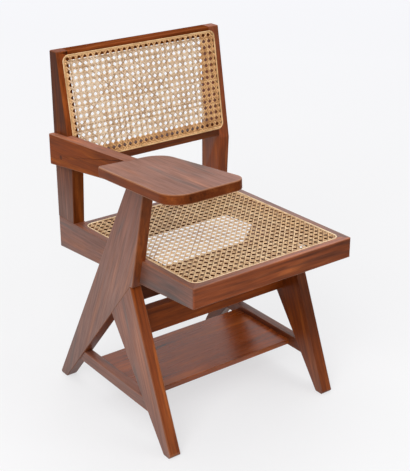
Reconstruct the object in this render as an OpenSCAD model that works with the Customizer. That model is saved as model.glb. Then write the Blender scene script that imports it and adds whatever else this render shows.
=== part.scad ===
// Writing arm chair in teak and cane: compass legs, caned seat and back, a fixed
// writing tablet on the sitter's right and a low book shelf between the stretchers.
// It is drawn with x = 0 at the seat's centre, y = 0 at the seat's front face, y
// growing to the rear and z = 0 on the floor. The last lines move it so that the
// origin is under the middle of the whole chair. Tablet side is -x, open side is +x.

/* [Seat frame] */
// Width over the side rails at the rear end
seat_rear_w = 438; // [418:1:456]
// How much less that width is at the front
seat_taper = 14; // [0:1:24]
// Length of the side rails
seat_depth = 515; // [500:1:530]
// Height of the seat's top at the front
seat_front_z = 425; // [418:1:440]
// Height of the seat's top at the rear end
seat_rear_z = 412; // [406:1:418]
// Height of the side rails at the front
rail_front_h = 46; // [42:1:52]
// Height of the side rails at the rear end
rail_rear_h = 75; // [66:1:82]
// Thickness of the side rails
side_rail_t = 28; // [24:1:32]
// Thickness of the front rail
front_rail_t = 28; // [24:1:32]
// Thickness of the rear rail
rear_rail_t = 28; // [24:1:32]
// Height of the rear rail
rear_rail_h = 70; // [50:1:76]
// Space between the rear rail and the uprights
rear_rail_space = 2; // [0:0.5:6]

/* [Seat cane] */
// Wood left outside the spline along the sides
seat_side_border = 15; // [12:0.5:18]
// Wood left outside the spline along the front
seat_front_border = 17; // [12:0.5:19]
// Wood left outside the spline along the rear
seat_rear_border = 16; // [12:0.5:18]
// Corner radius of the seat spline
seat_corner_r = 20; // [14:1:30]
// Gaps of the seat net from side to side
seat_cols = 14; // [8:1:17]
// Gaps of the seat net from front to rear
seat_rows = 15; // [8:1:17]

/* [Cane and spline] */
// Thickness of the cane sheets
cane_t = 2; // [1:0.5:3]
// Width of the splines
spline_w = 3.5; // [3:0.5:6]
// Depth of the spline grooves
spline_d = 6; // [4:0.5:9]
// Height that the splines stand proud
spline_proud = 0.8; // [0.2:0.1:1.5]
// Solid edge of a net inside its spline
net_edge = 6; // [5:0.5:9]
// Share of the pitch that a strand takes
strand_share = 0.45; // [0.3:0.05:0.6]

/* [Back] */
// Height of the chair's back
back_top_z = 800; // [760:1:840]
// Thickness of the uprights
upright_t = 29; // [24:1:32]
// Depth of the uprights at the top
upright_top_d = 27; // [24:1:34]
// Depth of the uprights at the knee
upright_knee_d = 73; // [64:1:82]
// Depth of the uprights on the seat rails
upright_seat_d = 66; // [56:1:74]
// Height of the knee, where the front edge changes slope
knee_z = 536; // [515:1:540]
// Height of the top rail
top_rail_h = 21; // [18:1:30]
// Lower edge of the bottom rail
bottom_rail_z = 544; // [541:1:560]
// Height of the bottom rail
bottom_rail_h = 27; // [24:1:34]
// Thickness of the bottom rail
bottom_rail_t = 25; // [20:1:30]
// Wood left outside the back spline along the sides
back_side_border = 13.5; // [10:0.5:16]
// Wood left above the back spline
back_top_border = 8.5; // [6:0.5:11]
// Wood left below the back spline
back_bottom_border = 15; // [10:0.5:16]
// Corner radius of the back spline
back_corner_r = 16; // [12:1:24]
// Gaps of the back net from side to side
back_cols = 20; // [10:1:24]
// Gaps of the back net from bottom to top
back_rows = 11; // [6:1:12]

/* [Legs] */
// Distance of the legs' outer faces outside the side rails' rear ends
leg_beyond = 14; // [10:0.5:18]
// Thickness of the legs
leg_t = 28; // [24:1:32]
// Rearmost point of the rear feet
rear_foot_y = 526; // [505:1:550]
// Length of the rear feet on the floor
rear_foot_l = 29.5; // [24:0.5:40]
// Foremost point of the front feet
front_foot_y = 55; // [30:1:80]
// Length of the front feet on the floor
front_foot_l = 29; // [24:0.5:40]
// Fork, where a front leg leaves the rear leg: its y
fork_y = 198; // [188:1:208]
// Height of the fork
fork_z = 358; // [345:1:362]
// Height of the crotch under the fork
crotch_z = 264; // [240:1:285]
// Step of the long leg's front edge above the fork
fork_step = 8; // [2:1:12]
// Front edge of the long leg under the tablet
long_leg_top_front = 131; // [115:1:134]
// Rear edge of the long leg under the tablet
long_leg_top_rear = 181; // [178:1:195]
// Drop of the open side's leg head below the seat's top
head_drop = 18; // [12:1:24]
// Radius of the dowels
dowel_r = 4; // [3:0.5:4.5]
// Length of the dowels between the legs
leg_dowel_l = 50; // [30:1:60]
// Distance of these dowels from the legs' outer faces
dowel_set = 11; // [9:0.5:12]
// Wood left between a dowel and a tenon
dowel_wall = 3; // [2:0.5:5]

/* [Cross rails] */
// Front face of both cross rails
cross_y = 214; // [206:1:222]
// Thickness of both cross rails
cross_t = 24; // [18:1:28]
// Lower edge of the lower cross rail
cross_z = 221; // [215:1:232]
// Height of the lower cross rail
cross_h = 61; // [48:1:74]
// Height of the seat bearer at its front face
bearer_h = 53; // [35:1:60]

/* [Stretchers and shelf] */
// Lower edge of the stretchers
stretcher_z = 76; // [60:1:100]
// Height of the stretchers
stretcher_h = 29; // [24:1:40]
// Thickness of the stretchers
stretcher_t = 21.5; // [18:0.5:24]
// Length of the stretchers' tenons
stretcher_tenon_l = 18; // [10:1:20]
// Thickness of the stretchers' tenons
stretcher_tenon_t = 10; // [6:1:14]
// Shoulder above and below the stretchers' tenons
stretcher_shoulder = 6; // [3:1:9]
// Top of the book shelf above the stretchers' lower edge
shelf_rise = 16; // [14:1:22]
// Thickness of the book shelf
shelf_t = 13; // [9:1:14]
// Front edge of the book shelf
shelf_front_y = 189; // [175:1:205]
// Depth of the book shelf
shelf_depth = 201; // [150:1:215]
// Length of the shelf's tongues in the stretchers
shelf_tongue = 5; // [3:0.5:8]
// Shoulder above the shelf's tongues
shelf_shoulder = 3; // [1:0.5:4]

/* [Arm and tablet] */
// Thickness of the arm rail
arm_t = 29; // [24:1:34]
// Height of the arm's top at the rear end
arm_rear_z = 614; // [600:1:635]
// Height of the arm rail at the rear end
arm_rear_h = 72; // [60:1:85]
// Rise of the arm's and the tablet's top to the front, in degrees
arm_tilt = 4.35; // [3:0.05:6]
// Rise of the arm's lower edge to the front, in degrees
arm_taper = 7.9; // [6:0.1:9]
// Thickness of the tablet
tablet_t = 21; // [16:1:26]
// Front edge of the tablet
tablet_front_y = -62; // [-80:1:-40]
// Rear edge of the tablet at its outer corner
tablet_rear_outer_y = 212; // [206:1:225]
// Rear edge of the tablet at its inner corner
tablet_rear_inner_y = 197; // [190:1:212]
// Tablet outside the long leg's outer face at the rear
tablet_out_rear = 60; // [42:1:77]
// Tablet outside the long leg's outer face at the front
tablet_out_front = 70; // [47:1:87]
// Tablet inside the long leg's inner face at the rear
tablet_in_rear = 58; // [40:1:70]
// Tablet inside the long leg's inner face at the front
tablet_in_front = 78; // [55:1:95]
// Radius of the tablet's outer rear corner
tablet_outer_rear_r = 9; // [5:1:20]
// Radius of the tablet's outer front corner
tablet_outer_front_r = 46; // [20:1:60]
// Radius of the tablet's inner front corner
tablet_inner_front_r = 26; // [15:1:50]
// Radius of the tablet's inner rear corner
tablet_inner_rear_r = 48; // [20:1:55]
// Length of the arm's tenon in the long leg
arm_tenon_l = 14; // [8:1:16]
// Length of the dowels under the tablet
tablet_dowel_l = 36; // [24:1:44]
// Depth of these dowels in the tablet
tablet_dowel_in = 12; // [8:1:14]
// Distance of the first of them from the long leg's front edge
tablet_dowel_edge = 11; // [8:1:12]

/* [Joints and screws] */
// Thickness of the tenons of rails in rails and uprights
tenon_t = 10; // [6:1:12]
// Length of the rails' tenons
tenon_l = 15; // [10:1:18]
// Wood left outside the front rail's tenons
mitre_cover = 7; // [5:1:12]
// Shoulder at the ends of a tenon
tenon_shoulder = 4; // [2:1:6]
// Length of an upright's tenon in its seat rail
upright_tenon_l = 30; // [15:1:40]
// Radius of the screws' shanks
screw_r = 2.5; // [2:0.25:3]
// Radius of the screws' heads
screw_head_r = 5; // [4:0.5:6]
// Height of the screws' heads
screw_head_h = 3; // [2:0.5:4]
// Space between a screw and its hole
screw_space = 0.1; // [0.05:0.05:0.3]
// Wood left over the screws' points
screw_cover = 5; // [3:1:8]
// First leg screw behind the fork
leg_screw_first = 20; // [14:1:30]
// Distance between the screws of a leg
leg_screw_pitch = 62; // [40:1:70]
// Arm screw in front of the arm's rear end
arm_screw_set = 50; // [30:1:55]
// Arm screw above the arm's lower edge
arm_screw_up = 22; // [16:1:40]
// Depth of the plug over the arm screw
plug_d = 6; // [4:0.5:8]

/* [Hidden] */
$fn = 32;

teak = [0.50, 0.29, 0.19];
teak_light = [0.58, 0.36, 0.25];
cane_colour = [0.84, 0.69, 0.47];
spline_colour = [0.86, 0.66, 0.42];
screw_colour = [0.72, 0.60, 0.36];
tablet_side = -1;
open_side = 1;
cut = 20;            // how far a cutting shape runs past the wood
arc_steps = 8;       // straight pieces in a rounded corner
space_in_rail = 1;   // depth of the leg screws' heads under the rails' inner faces

// Seat: height of the top, height of the side rails and half width at a depth y
seat_tilt = atan((seat_front_z - seat_rear_z) / seat_depth);
function seat_z(y) = seat_front_z - y * tan(seat_tilt);
function rail_h(y) = rail_front_h + (rail_rear_h - rail_front_h) * y / seat_depth;
function rail_under(y) = seat_z(y) - rail_h(y);
function seat_half(y) = (seat_rear_w - seat_taper * (1 - y / seat_depth)) / 2;
upright_front_y = seat_depth - upright_seat_d;
rear_rail_back_y = upright_front_y - rear_rail_space;
rear_rail_front_y = rear_rail_back_y - rear_rail_t;

// Back: outer faces, front slope and the height range of the caned panel
upright_outer = seat_rear_w / 2;
upright_inner = upright_outer - upright_t;
knee_y = seat_depth - upright_knee_d;
back_tilt = atan((upright_knee_d - upright_top_d) / (back_top_z - knee_z));
function back_front_y(z) = knee_y + (z - knee_z) * tan(back_tilt);

// The legs stand outside the seat, and the arm lies in the long leg's plane
leg_plane_x = seat_rear_w / 2 + leg_beyond;
leg_inner = leg_plane_x - leg_t;
leg_mid = leg_plane_x - leg_t / 2;

// Arm and tablet: height of their common top at a depth y
arm_outer = leg_plane_x;
arm_inner = leg_plane_x - arm_t;
function arm_top(y) = arm_rear_z + (seat_depth - y) * tan(arm_tilt);
function arm_under(y) = arm_rear_z - arm_rear_h + (seat_depth - y) * tan(arm_taper);
function tablet_under(y) = arm_top(y) - tablet_t / cos(arm_tilt);

// A point at height z on the line through p and q, both as [y, z]
function at_height(p, q, z) = p + (q - p) * (z - p[1]) / (q[1] - p[1]);
// The point where the lines p-q and r-s meet
function meet(p, q, r, s) =
    let(d = q - p, e = s - r, k = d[0] * e[1] - d[1] * e[0], g = r - p)
    p + d * (g[0] * e[1] - g[1] * e[0]) / k;

// Leg lines in the [y, z] plane
fork = [fork_y, fork_z];
step = [fork_y - fork_step, fork_z];
rear_foot_back = [rear_foot_y, 0];
rear_foot_front = [rear_foot_y - rear_foot_l, 0];
front_foot_front = [front_foot_y, 0];
front_foot_back = [front_foot_y + front_foot_l, 0];
crotch = at_height(fork, rear_foot_front, crotch_z);
long_top_front = [long_leg_top_front, tablet_under(long_leg_top_front)];
long_top_rear = [long_leg_top_rear, tablet_under(long_leg_top_rear)];
head_z = seat_z(fork_y) - head_drop;
long_leg_outline = [rear_foot_back, rear_foot_front, fork, step, long_top_front, long_top_rear];
open_leg_outline = [
    rear_foot_back, rear_foot_front, fork, step,
    at_height(step, long_top_front, head_z), at_height(rear_foot_back, long_top_rear, head_z)
];
front_leg_outline = [front_foot_front, front_foot_back, crotch, fork];

// Stretcher ends lie on the legs' edges
stretcher_top = stretcher_z + stretcher_h;
function front_end(z) = at_height(front_foot_back, crotch, z);
function rear_end(z) = at_height(rear_foot_front, fork, z);

// Tablet outline in its own sloping plane, measured from the arm's rear end
function sloped(y) = (y - seat_depth) / cos(arm_tilt);
tablet_corners = [
    [-leg_plane_x - tablet_out_rear, sloped(tablet_rear_outer_y)],
    [-leg_plane_x - tablet_out_front, sloped(tablet_front_y)],
    [tablet_in_front - leg_inner, sloped(tablet_front_y)],
    [tablet_in_rear - leg_inner, sloped(tablet_rear_inner_y)]
];
tablet_radii = [tablet_outer_rear_r, tablet_outer_front_r, tablet_inner_front_r, tablet_inner_rear_r];
tablet_outline = rounded(tablet_corners, tablet_radii);

// The whole chair's middle, where the origin goes
tablet_left = min([for (p = tablet_outline) p[0]]);
tablet_front = seat_depth + sloped(tablet_front_y) * cos(arm_tilt) - tablet_t * sin(arm_tilt);
origin_x = (tablet_left + max(leg_plane_x, upright_outer)) / 2;
origin_y = (tablet_front + max(rear_foot_y, seat_depth)) / 2;

// Rounds the corners of a convex outline whose corners run anticlockwise
function unit(v) = v / norm(v);
function corner_arc(a, b, c, r) =
    let(u = unit(a - b), w = unit(c - b), half = acos(u * w) / 2,
        centre = b + unit(u + w) * r / sin(half),
        start = b + u * r / tan(half) - centre,
        turn = 180 - 2 * half)
    [for (i = [0 : arc_steps]) let(t = turn * i / arc_steps)
        centre + [start[0] * cos(t) - start[1] * sin(t), start[0] * sin(t) + start[1] * cos(t)]];
function rounded(corners, radii) =
    let(n = len(corners))
    [for (i = [0 : n - 1]) each corner_arc(corners[(i + n - 1) % n], corners[i],
        corners[(i + 1) % n], radii[i])];

// Outlines of the caned panels, pulled in by e from the spline's outer edge
function seat_in_plane(y) = y / cos(seat_tilt);
function seat_panel_corners(e) =
    let(f = seat_front_border + e, b = rear_rail_back_y - seat_rear_border - e,
        hf = seat_half(f) - seat_side_border - e, hb = seat_half(b) - seat_side_border - e)
    [[-hf, seat_in_plane(f)], [hf, seat_in_plane(f)], [hb, seat_in_plane(b)], [-hb, seat_in_plane(b)]];
function back_in_plane(z) = (z - knee_z) / cos(back_tilt);
function back_panel_corners(e) =
    let(h = upright_outer - back_side_border - e,
        low = back_in_plane(bottom_rail_z + back_bottom_border) + e,
        high = back_in_plane(back_top_z - back_top_border) - e)
    [[-h, low], [h, low], [h, high], [-h, high]];
function same(r) = [r, r, r, r];

// A flat net: the outline with a gap in each cell of a grid between its corners
function blend(c, u, v) =
    (c[0] * (1 - u) + c[1] * u) * (1 - v) + (c[3] * (1 - u) + c[2] * u) * v;
module net(corners, grid, radius, cols, rows) {
    edge = rounded(corners, same(radius));
    gap = 1 - strand_share;
    gaps = [for (i = [0 : cols - 1], j = [0 : rows - 1])
        let(u0 = (i + strand_share / 2) / cols, u1 = u0 + gap / cols,
            v0 = (j + strand_share / 2) / rows, v1 = v0 + gap / rows)
        [blend(grid, u0, v0), blend(grid, u1, v0), blend(grid, u1, v1), blend(grid, u0, v1)]];
    points = concat(edge, [for (g = gaps) each g]);
    first = [for (i = [0 : len(edge) - 1]) i];
    holes = [for (k = [0 : len(gaps) - 1]) [for (q = [0 : 3]) len(edge) + 4 * k + q]];
    polygon(points, concat([first], holes));
}
module ring(outer, inner) {
    difference() {
        polygon(outer);
        polygon(inner);
    }
}

// A [y, z] outline made solid between two x values
module slab(x0, x1, outline) {
    translate([min(x0, x1), 0, 0]) rotate([90, 0, 90])
        linear_extrude(abs(x1 - x0)) polygon(outline);
}
module seat_plane() {
    translate([0, 0, seat_front_z]) rotate([-seat_tilt, 0, 0]) children();
}
module back_plane() {
    translate([0, knee_y, knee_z]) rotate([90 - back_tilt, 0, 0]) children();
}
// A round rod along x from x0 to x1 at [y, z]
module rod_x(x0, x1, y, z, r) {
    translate([min(x0, x1), y, z]) rotate([0, 90, 0]) cylinder(h = abs(x1 - x0), r = r);
}

// What the caned panels take out of the wood: a groove and a shallow rebate
seat_outer = rounded(seat_panel_corners(0), same(seat_corner_r));
seat_inner = rounded(seat_panel_corners(spline_w), same(seat_corner_r - spline_w));
back_outer = rounded(back_panel_corners(0), same(back_corner_r));
back_inner = rounded(back_panel_corners(spline_w), same(back_corner_r - spline_w));
module recess(outer, inner) {
    translate([0, 0, -cane_t]) linear_extrude(cane_t + cut) polygon(outer);
    translate([0, 0, -spline_d]) linear_extrude(spline_d) ring(outer, inner);
}
module seat_recess() { seat_plane() recess(seat_outer, seat_inner); }
module back_recess() { back_plane() recess(back_outer, back_inner); }

// Tenons of the front and rear rails in the side rails, from x - cut to x
module rail_tenon(s, x, rear, h) {
    front = rear - tenon_t;
    low = seat_z(rear) - h + tenon_shoulder;
    high = seat_z(rear) - spline_d - tenon_shoulder;
    slab(s * (x - tenon_l - cut), s * x, [[front, low], [rear, low], [rear, high], [front, high]]);
}
module front_tenon(s) {
    rail_tenon(s, seat_half(front_rail_t) - mitre_cover, front_rail_t - tenon_shoulder,
        rail_h(front_rail_t));
}
module rear_tenon(s) {
    mid = rear_rail_back_y - rear_rail_t / 2;
    rail_tenon(s, seat_half(mid) - side_rail_t + tenon_l, mid + tenon_t / 2, rear_rail_h);
}

// Tenon of an upright in its side rail
module upright_tenon(s) {
    x = upright_outer - upright_t / 2;
    front = upright_front_y + 3 * tenon_shoulder;
    rear = seat_depth - 2 * tenon_shoulder;
    slab(s * (x - tenon_t / 2), s * (x + tenon_t / 2),
        [[front, seat_z(front) - upright_tenon_l], [rear, seat_z(front) - upright_tenon_l],
         [rear, seat_z(rear)], [front, seat_z(front)]]);
}

// Screws: those of the legs are let into the inner faces of the side rails, and
// the arm's is driven from outside into the upright, under a plug
function rail_mid(y) = seat_z(y) - rail_h(y) / 2;
leg_screw_ys = [fork_y + leg_screw_first, fork_y + leg_screw_first + leg_screw_pitch];
arm_screw_y = seat_depth - arm_screw_set;
arm_screw_z = arm_under(arm_screw_y) + arm_screw_up;
module screw(length, space) {
    cylinder(h = screw_head_h + space, r = screw_head_r + space);
    cylinder(h = length + space, r = screw_r + space);
}
module leg_screw_pair(s, space) {
    for (y = leg_screw_ys) {
        head = seat_half(y) - side_rail_t + space_in_rail;
        translate([s * head, y, rail_mid(y)]) rotate([0, s * 90, 0])
            screw(leg_plane_x - screw_cover - head, space);
    }
}
module arm_screw_solid(space) {
    head = arm_outer - plug_d;
    translate([-head, arm_screw_y, arm_screw_z]) rotate([0, 90, 0])
        screw(head - upright_inner - screw_cover, space);
}
module plug_solid() {
    rod_x(-arm_outer, plug_d - arm_outer, arm_screw_y, arm_screw_z, screw_head_r + screw_space);
}

// Side and front rails are sawn to a plan outline and to the seat's side outline.
// They meet in mitres; the side rails carry the uprights on their rear ends.
module seat_part(plan) {
    intersection() {
        translate([0, 0, rail_under(seat_depth) - cut])
            linear_extrude(seat_front_z - rail_under(seat_depth) + 2 * cut) polygon(plan);
        slab(-seat_rear_w, seat_rear_w,
            [[0, rail_under(0)], [seat_depth, rail_under(seat_depth)],
             [seat_depth, seat_z(seat_depth)], [0, seat_z(0)]]);
    }
}
module side_rail_blank(s) {
    seat_part([[s * seat_half(0), 0], [s * seat_half(seat_depth), seat_depth],
        [s * (seat_half(seat_depth) - side_rail_t), seat_depth],
        [s * (seat_half(front_rail_t) - side_rail_t), front_rail_t]]);
}
module side_rail(s) {
    difference() {
        side_rail_blank(s);
        seat_recess();
        front_tenon(s);
        rear_tenon(s);
        upright_tenon(s);
        leg_screw_pair(s, screw_space);
    }
}
module tablet_side_rail() { color(teak_light) side_rail(tablet_side); }
module open_side_rail() { color(teak_light) side_rail(open_side); }

module seat_front_rail() {
    a = seat_half(0);
    b = seat_half(front_rail_t) - side_rail_t;
    color(teak) difference() {
        union() {
            seat_part([[-a, 0], [a, 0], [b, front_rail_t], [-b, front_rail_t]]);
            front_tenon(tablet_side);
            front_tenon(open_side);
        }
        seat_recess();
    }
}
module seat_rear_rail() {
    a = seat_half(rear_rail_front_y) - side_rail_t;
    b = seat_half(rear_rail_back_y) - side_rail_t;
    low = seat_z(rear_rail_back_y) - rear_rail_h;
    color(teak) difference() {
        union() {
            intersection() {
                seat_part([[-a, rear_rail_front_y], [a, rear_rail_front_y],
                    [b, rear_rail_back_y], [-b, rear_rail_back_y]]);
                translate([-b, rear_rail_front_y, low]) cube([2 * b, rear_rail_t, rear_rail_h + cut]);
            }
            rear_tenon(tablet_side);
            rear_tenon(open_side);
        }
        seat_recess();
    }
}

module seat_cane() {
    color(cane_colour) seat_plane() translate([0, 0, -cane_t]) linear_extrude(cane_t)
        net(seat_panel_corners(spline_w), seat_panel_corners(spline_w + net_edge),
            seat_corner_r - spline_w, seat_cols, seat_rows);
}
module seat_spline() {
    color(spline_colour) seat_plane() translate([0, 0, -spline_d])
        linear_extrude(spline_d + spline_proud) ring(seat_outer, seat_inner);
}

// Uprights: straight behind, sloping in front, with a knee under the caned panel
module back_tenon(s, low, high, front, t) {
    mid = front + t / 2;
    slab(s * (upright_inner - cut), s * (upright_inner + tenon_l),
        [[mid - tenon_t / 2, low], [mid + tenon_t / 2, low], [mid + tenon_t / 2, high], [mid - tenon_t / 2, high]]);
}
module top_tenon(s) {
    low = back_top_z - top_rail_h + tenon_shoulder;
    front = back_front_y(back_top_z);
    back_tenon(s, low, back_top_z - tenon_shoulder, front + spline_d, upright_top_d - spline_d);
}
module bottom_tenon(s) {
    low = bottom_rail_z + tenon_shoulder;
    high = bottom_rail_z + bottom_rail_h - tenon_shoulder;
    back_tenon(s, low, high, back_front_y(high) + spline_d, bottom_rail_t - spline_d);
}
module upright_blank(s) {
    slab(s * upright_inner, s * upright_outer,
        [[upright_front_y, seat_z(upright_front_y)], [seat_depth, seat_z(seat_depth)],
         [seat_depth, back_top_z], [seat_depth - upright_top_d, back_top_z], [knee_y, knee_z]]);
}
module upright(s) {
    difference() {
        union() {
            upright_blank(s);
            upright_tenon(s);
        }
        back_recess();
        top_tenon(s);
        bottom_tenon(s);
        if (s == tablet_side) arm_screw_solid(screw_space);
    }
}
module tablet_upright() { color(teak) upright(tablet_side); }
module open_upright() { color(teak) upright(open_side); }

module back_top_rail() {
    low = back_top_z - top_rail_h;
    color(teak) difference() {
        union() {
            slab(-upright_inner, upright_inner,
                [[back_front_y(low), low], [seat_depth, low], [seat_depth, back_top_z],
                 [back_front_y(back_top_z), back_top_z]]);
            top_tenon(tablet_side);
            top_tenon(open_side);
        }
        back_recess();
    }
}
module back_bottom_rail() {
    low = bottom_rail_z;
    high = bottom_rail_z + bottom_rail_h;
    color(teak) difference() {
        union() {
            slab(-upright_inner, upright_inner,
                [[back_front_y(low), low], [back_front_y(low) + bottom_rail_t, low],
                 [back_front_y(high) + bottom_rail_t, high], [back_front_y(high), high]]);
            bottom_tenon(tablet_side);
            bottom_tenon(open_side);
        }
        back_recess();
    }
}
module back_cane() {
    color(cane_colour) back_plane() translate([0, 0, -cane_t]) linear_extrude(cane_t)
        net(back_panel_corners(spline_w), back_panel_corners(spline_w + net_edge),
            back_corner_r - spline_w, back_cols, back_rows);
}
module back_spline() {
    color(spline_colour) back_plane() translate([0, 0, -spline_d])
        linear_extrude(spline_d + spline_proud) ring(back_outer, back_inner);
}

// Arm rail: housed over the upright, rebated under the tablet, tenoned into the long leg
arm_low_rear = [seat_depth, arm_under(seat_depth)];
arm_low_front = meet(rear_foot_back, long_top_rear, arm_low_rear, [0, arm_under(0)]);
module arm_tenon() {
    low = at_height(rear_foot_back, long_top_rear, arm_low_front[1] + tenon_shoulder);
    high = at_height(rear_foot_back, long_top_rear, long_top_rear[1] - tenon_shoulder);
    slab(-leg_mid - tenon_t / 2, -leg_mid + tenon_t / 2,
        [low - [arm_tenon_l, 0], low + [tenon_shoulder, 0],
         high + [tenon_shoulder, 0], high - [arm_tenon_l, 0]]);
}
module tablet_dowel_pair() {
    rear_y = long_leg_top_rear - arm_tenon_l - dowel_wall - dowel_r;
    for (y = [long_leg_top_front + tablet_dowel_edge, rear_y])
        translate([-leg_mid, y, tablet_under(y) + tablet_dowel_in - tablet_dowel_l])
            cylinder(h = tablet_dowel_l, r = dowel_r);
}
module tablet_blank() {
    translate([0, seat_depth, arm_rear_z]) rotate([-arm_tilt, 0, 0])
        translate([0, 0, -tablet_t]) linear_extrude(tablet_t) polygon(tablet_outline);
}
module arm_rail() {
    color(teak_light) difference() {
        union() {
            slab(-arm_outer, -arm_inner,
                [arm_low_rear, [seat_depth, arm_rear_z],
                 [tablet_rear_inner_y, arm_top(tablet_rear_inner_y)],
                 [tablet_rear_inner_y, tablet_under(tablet_rear_inner_y)], long_top_rear,
                 arm_low_front]);
            arm_tenon();
        }
        tablet_blank();
        upright_blank(tablet_side);
        arm_screw_solid(screw_space);
        plug_solid();
    }
}
module writing_tablet() {
    color(teak_light) difference() {
        tablet_blank();
        tablet_dowel_pair();
    }
}

// Cross rails between the two compass legs
bearer_outline = [
    [cross_y, rail_under(cross_y) - bearer_h], [cross_y + cross_t, rail_under(cross_y) - bearer_h],
    [cross_y + cross_t, rail_under(cross_y + cross_t)], [cross_y, rail_under(cross_y)]
];
cross_outline = [
    [cross_y, cross_z], [cross_y + cross_t, cross_z],
    [cross_y + cross_t, cross_z + cross_h], [cross_y, cross_z + cross_h]
];
cross_tenon_l = leg_t - dowel_set - dowel_r - dowel_wall;
module cross_tenon(s, low, high) {
    y0 = cross_y + tenon_shoulder;
    y1 = cross_y + cross_t - tenon_shoulder;
    slab(s * (leg_inner - cut), s * (leg_inner + cross_tenon_l), [[y0, low], [y1, low], [y1, high], [y0, high]]);
}
module bearer_tenon(s) {
    low = rail_under(cross_y) - bearer_h + tenon_shoulder;
    cross_tenon(s, low, rail_under(cross_y + cross_t) - tenon_shoulder);
}
module lower_tenon(s) {
    cross_tenon(s, cross_z + tenon_shoulder, cross_z + cross_h - tenon_shoulder);
}
module seat_bearer() {
    color(teak) {
        slab(-leg_inner, leg_inner, bearer_outline);
        bearer_tenon(tablet_side);
        bearer_tenon(open_side);
    }
}
module cross_rail() {
    color(teak) {
        slab(-leg_inner, leg_inner, cross_outline);
        lower_tenon(tablet_side);
        lower_tenon(open_side);
    }
}

// Dowels square to the joint between a front leg and its rear leg
dowel_turn = -atan2(fork_z - crotch_z, crotch[0] - fork_y);
dowel_shares = [0.34, 0.72];    // places along the joint, from the fork to the crotch
module leg_dowel_pair(s) {
    for (k = dowel_shares) {
        p = fork + (crotch - fork) * k;
        translate([s * (leg_plane_x - dowel_set), p[0], p[1]]) rotate([dowel_turn, 0, 0])
            cylinder(h = leg_dowel_l, r = dowel_r, center = true);
    }
}
module stretcher_tenons(s) {
    x = s * (leg_mid - stretcher_tenon_t / 2);
    low = stretcher_z + stretcher_shoulder;
    high = stretcher_top - stretcher_shoulder;
    front = front_end(high)[0] - stretcher_tenon_l;
    rear = rear_end(low)[0] + stretcher_tenon_l;
    slab(x, x + s * stretcher_tenon_t, [[front, low], [rear, low], [rear, high], [front, high]]);
}
module leg_cuts(s) {
    side_rail_blank(s);
    bearer_tenon(s);
    lower_tenon(s);
    stretcher_tenons(s);
    leg_dowel_pair(s);
    leg_screw_pair(s, screw_space);
}
module leg(s, outline) {
    difference() {
        slab(s * leg_inner, s * leg_plane_x, outline);
        leg_cuts(s);
    }
}
module tablet_long_leg() {
    color(teak_light) difference() {
        leg(tablet_side, long_leg_outline);
        arm_tenon();
        tablet_dowel_pair();
    }
}
module tablet_front_leg() { color(teak_light) leg(tablet_side, front_leg_outline); }
module open_rear_leg() { color(teak_light) leg(open_side, open_leg_outline); }
module open_front_leg() { color(teak_light) leg(open_side, front_leg_outline); }

// Stretchers between the legs, and the shelf housed in them
stretcher_inner = leg_mid - stretcher_t / 2;
module board(w, t) {
    translate([-w, shelf_front_y, stretcher_z + shelf_rise - shelf_t]) cube([2 * w, shelf_depth, t]);
}
module shelf_board() {
    board(stretcher_inner, shelf_t);
    board(stretcher_inner + shelf_tongue, shelf_t - shelf_shoulder);
}
module stretcher(s) {
    difference() {
        union() {
            slab(s * stretcher_inner, s * (stretcher_inner + stretcher_t),
                [front_end(stretcher_z), rear_end(stretcher_z), rear_end(stretcher_top), front_end(stretcher_top)]);
            stretcher_tenons(s);
        }
        shelf_board();
    }
}
module tablet_stretcher() { color(teak_light) stretcher(tablet_side); }
module open_stretcher() { color(teak) stretcher(open_side); }
module book_shelf() { color(teak_light) shelf_board(); }

module leg_dowels() {
    color(cane_colour) for (s = [tablet_side, open_side]) leg_dowel_pair(s);
}
module tablet_dowels() { color(cane_colour) tablet_dowel_pair(); }
module leg_screws() {
    color(screw_colour) for (s = [tablet_side, open_side]) leg_screw_pair(s, 0);
}
module arm_screw() { color(screw_colour) arm_screw_solid(0); }
module arm_plug() { color(teak) plug_solid(); }

module place() { translate([-origin_x, -origin_y, 0]) children(); }
place() tablet_side_rail();
place() open_side_rail();
place() seat_front_rail();
place() seat_rear_rail();
place() seat_cane();
place() seat_spline();
place() tablet_upright();
place() open_upright();
place() back_top_rail();
place() back_bottom_rail();
place() back_cane();
place() back_spline();
place() arm_rail();
place() writing_tablet();
place() tablet_long_leg();
place() tablet_front_leg();
place() open_rear_leg();
place() open_front_leg();
place() tablet_stretcher();
place() open_stretcher();
place() book_shelf();
place() seat_bearer();
place() cross_rail();
place() leg_dowels();
place() tablet_dowels();
place() leg_screws();
place() arm_screw();
place() arm_plug();
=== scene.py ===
"""Writing arm chair in teak and cane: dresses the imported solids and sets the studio.

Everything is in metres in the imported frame: x to the open side, y to the rear, z up,
with the origin on the floor under the chair's middle.
"""

import math
import random

import bmesh
import bpy
from bpy.props import FloatProperty, FloatVectorProperty, PointerProperty
from mathutils import Euler, Matrix, Vector
from mathutils.bvhtree import BVHTree


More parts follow.
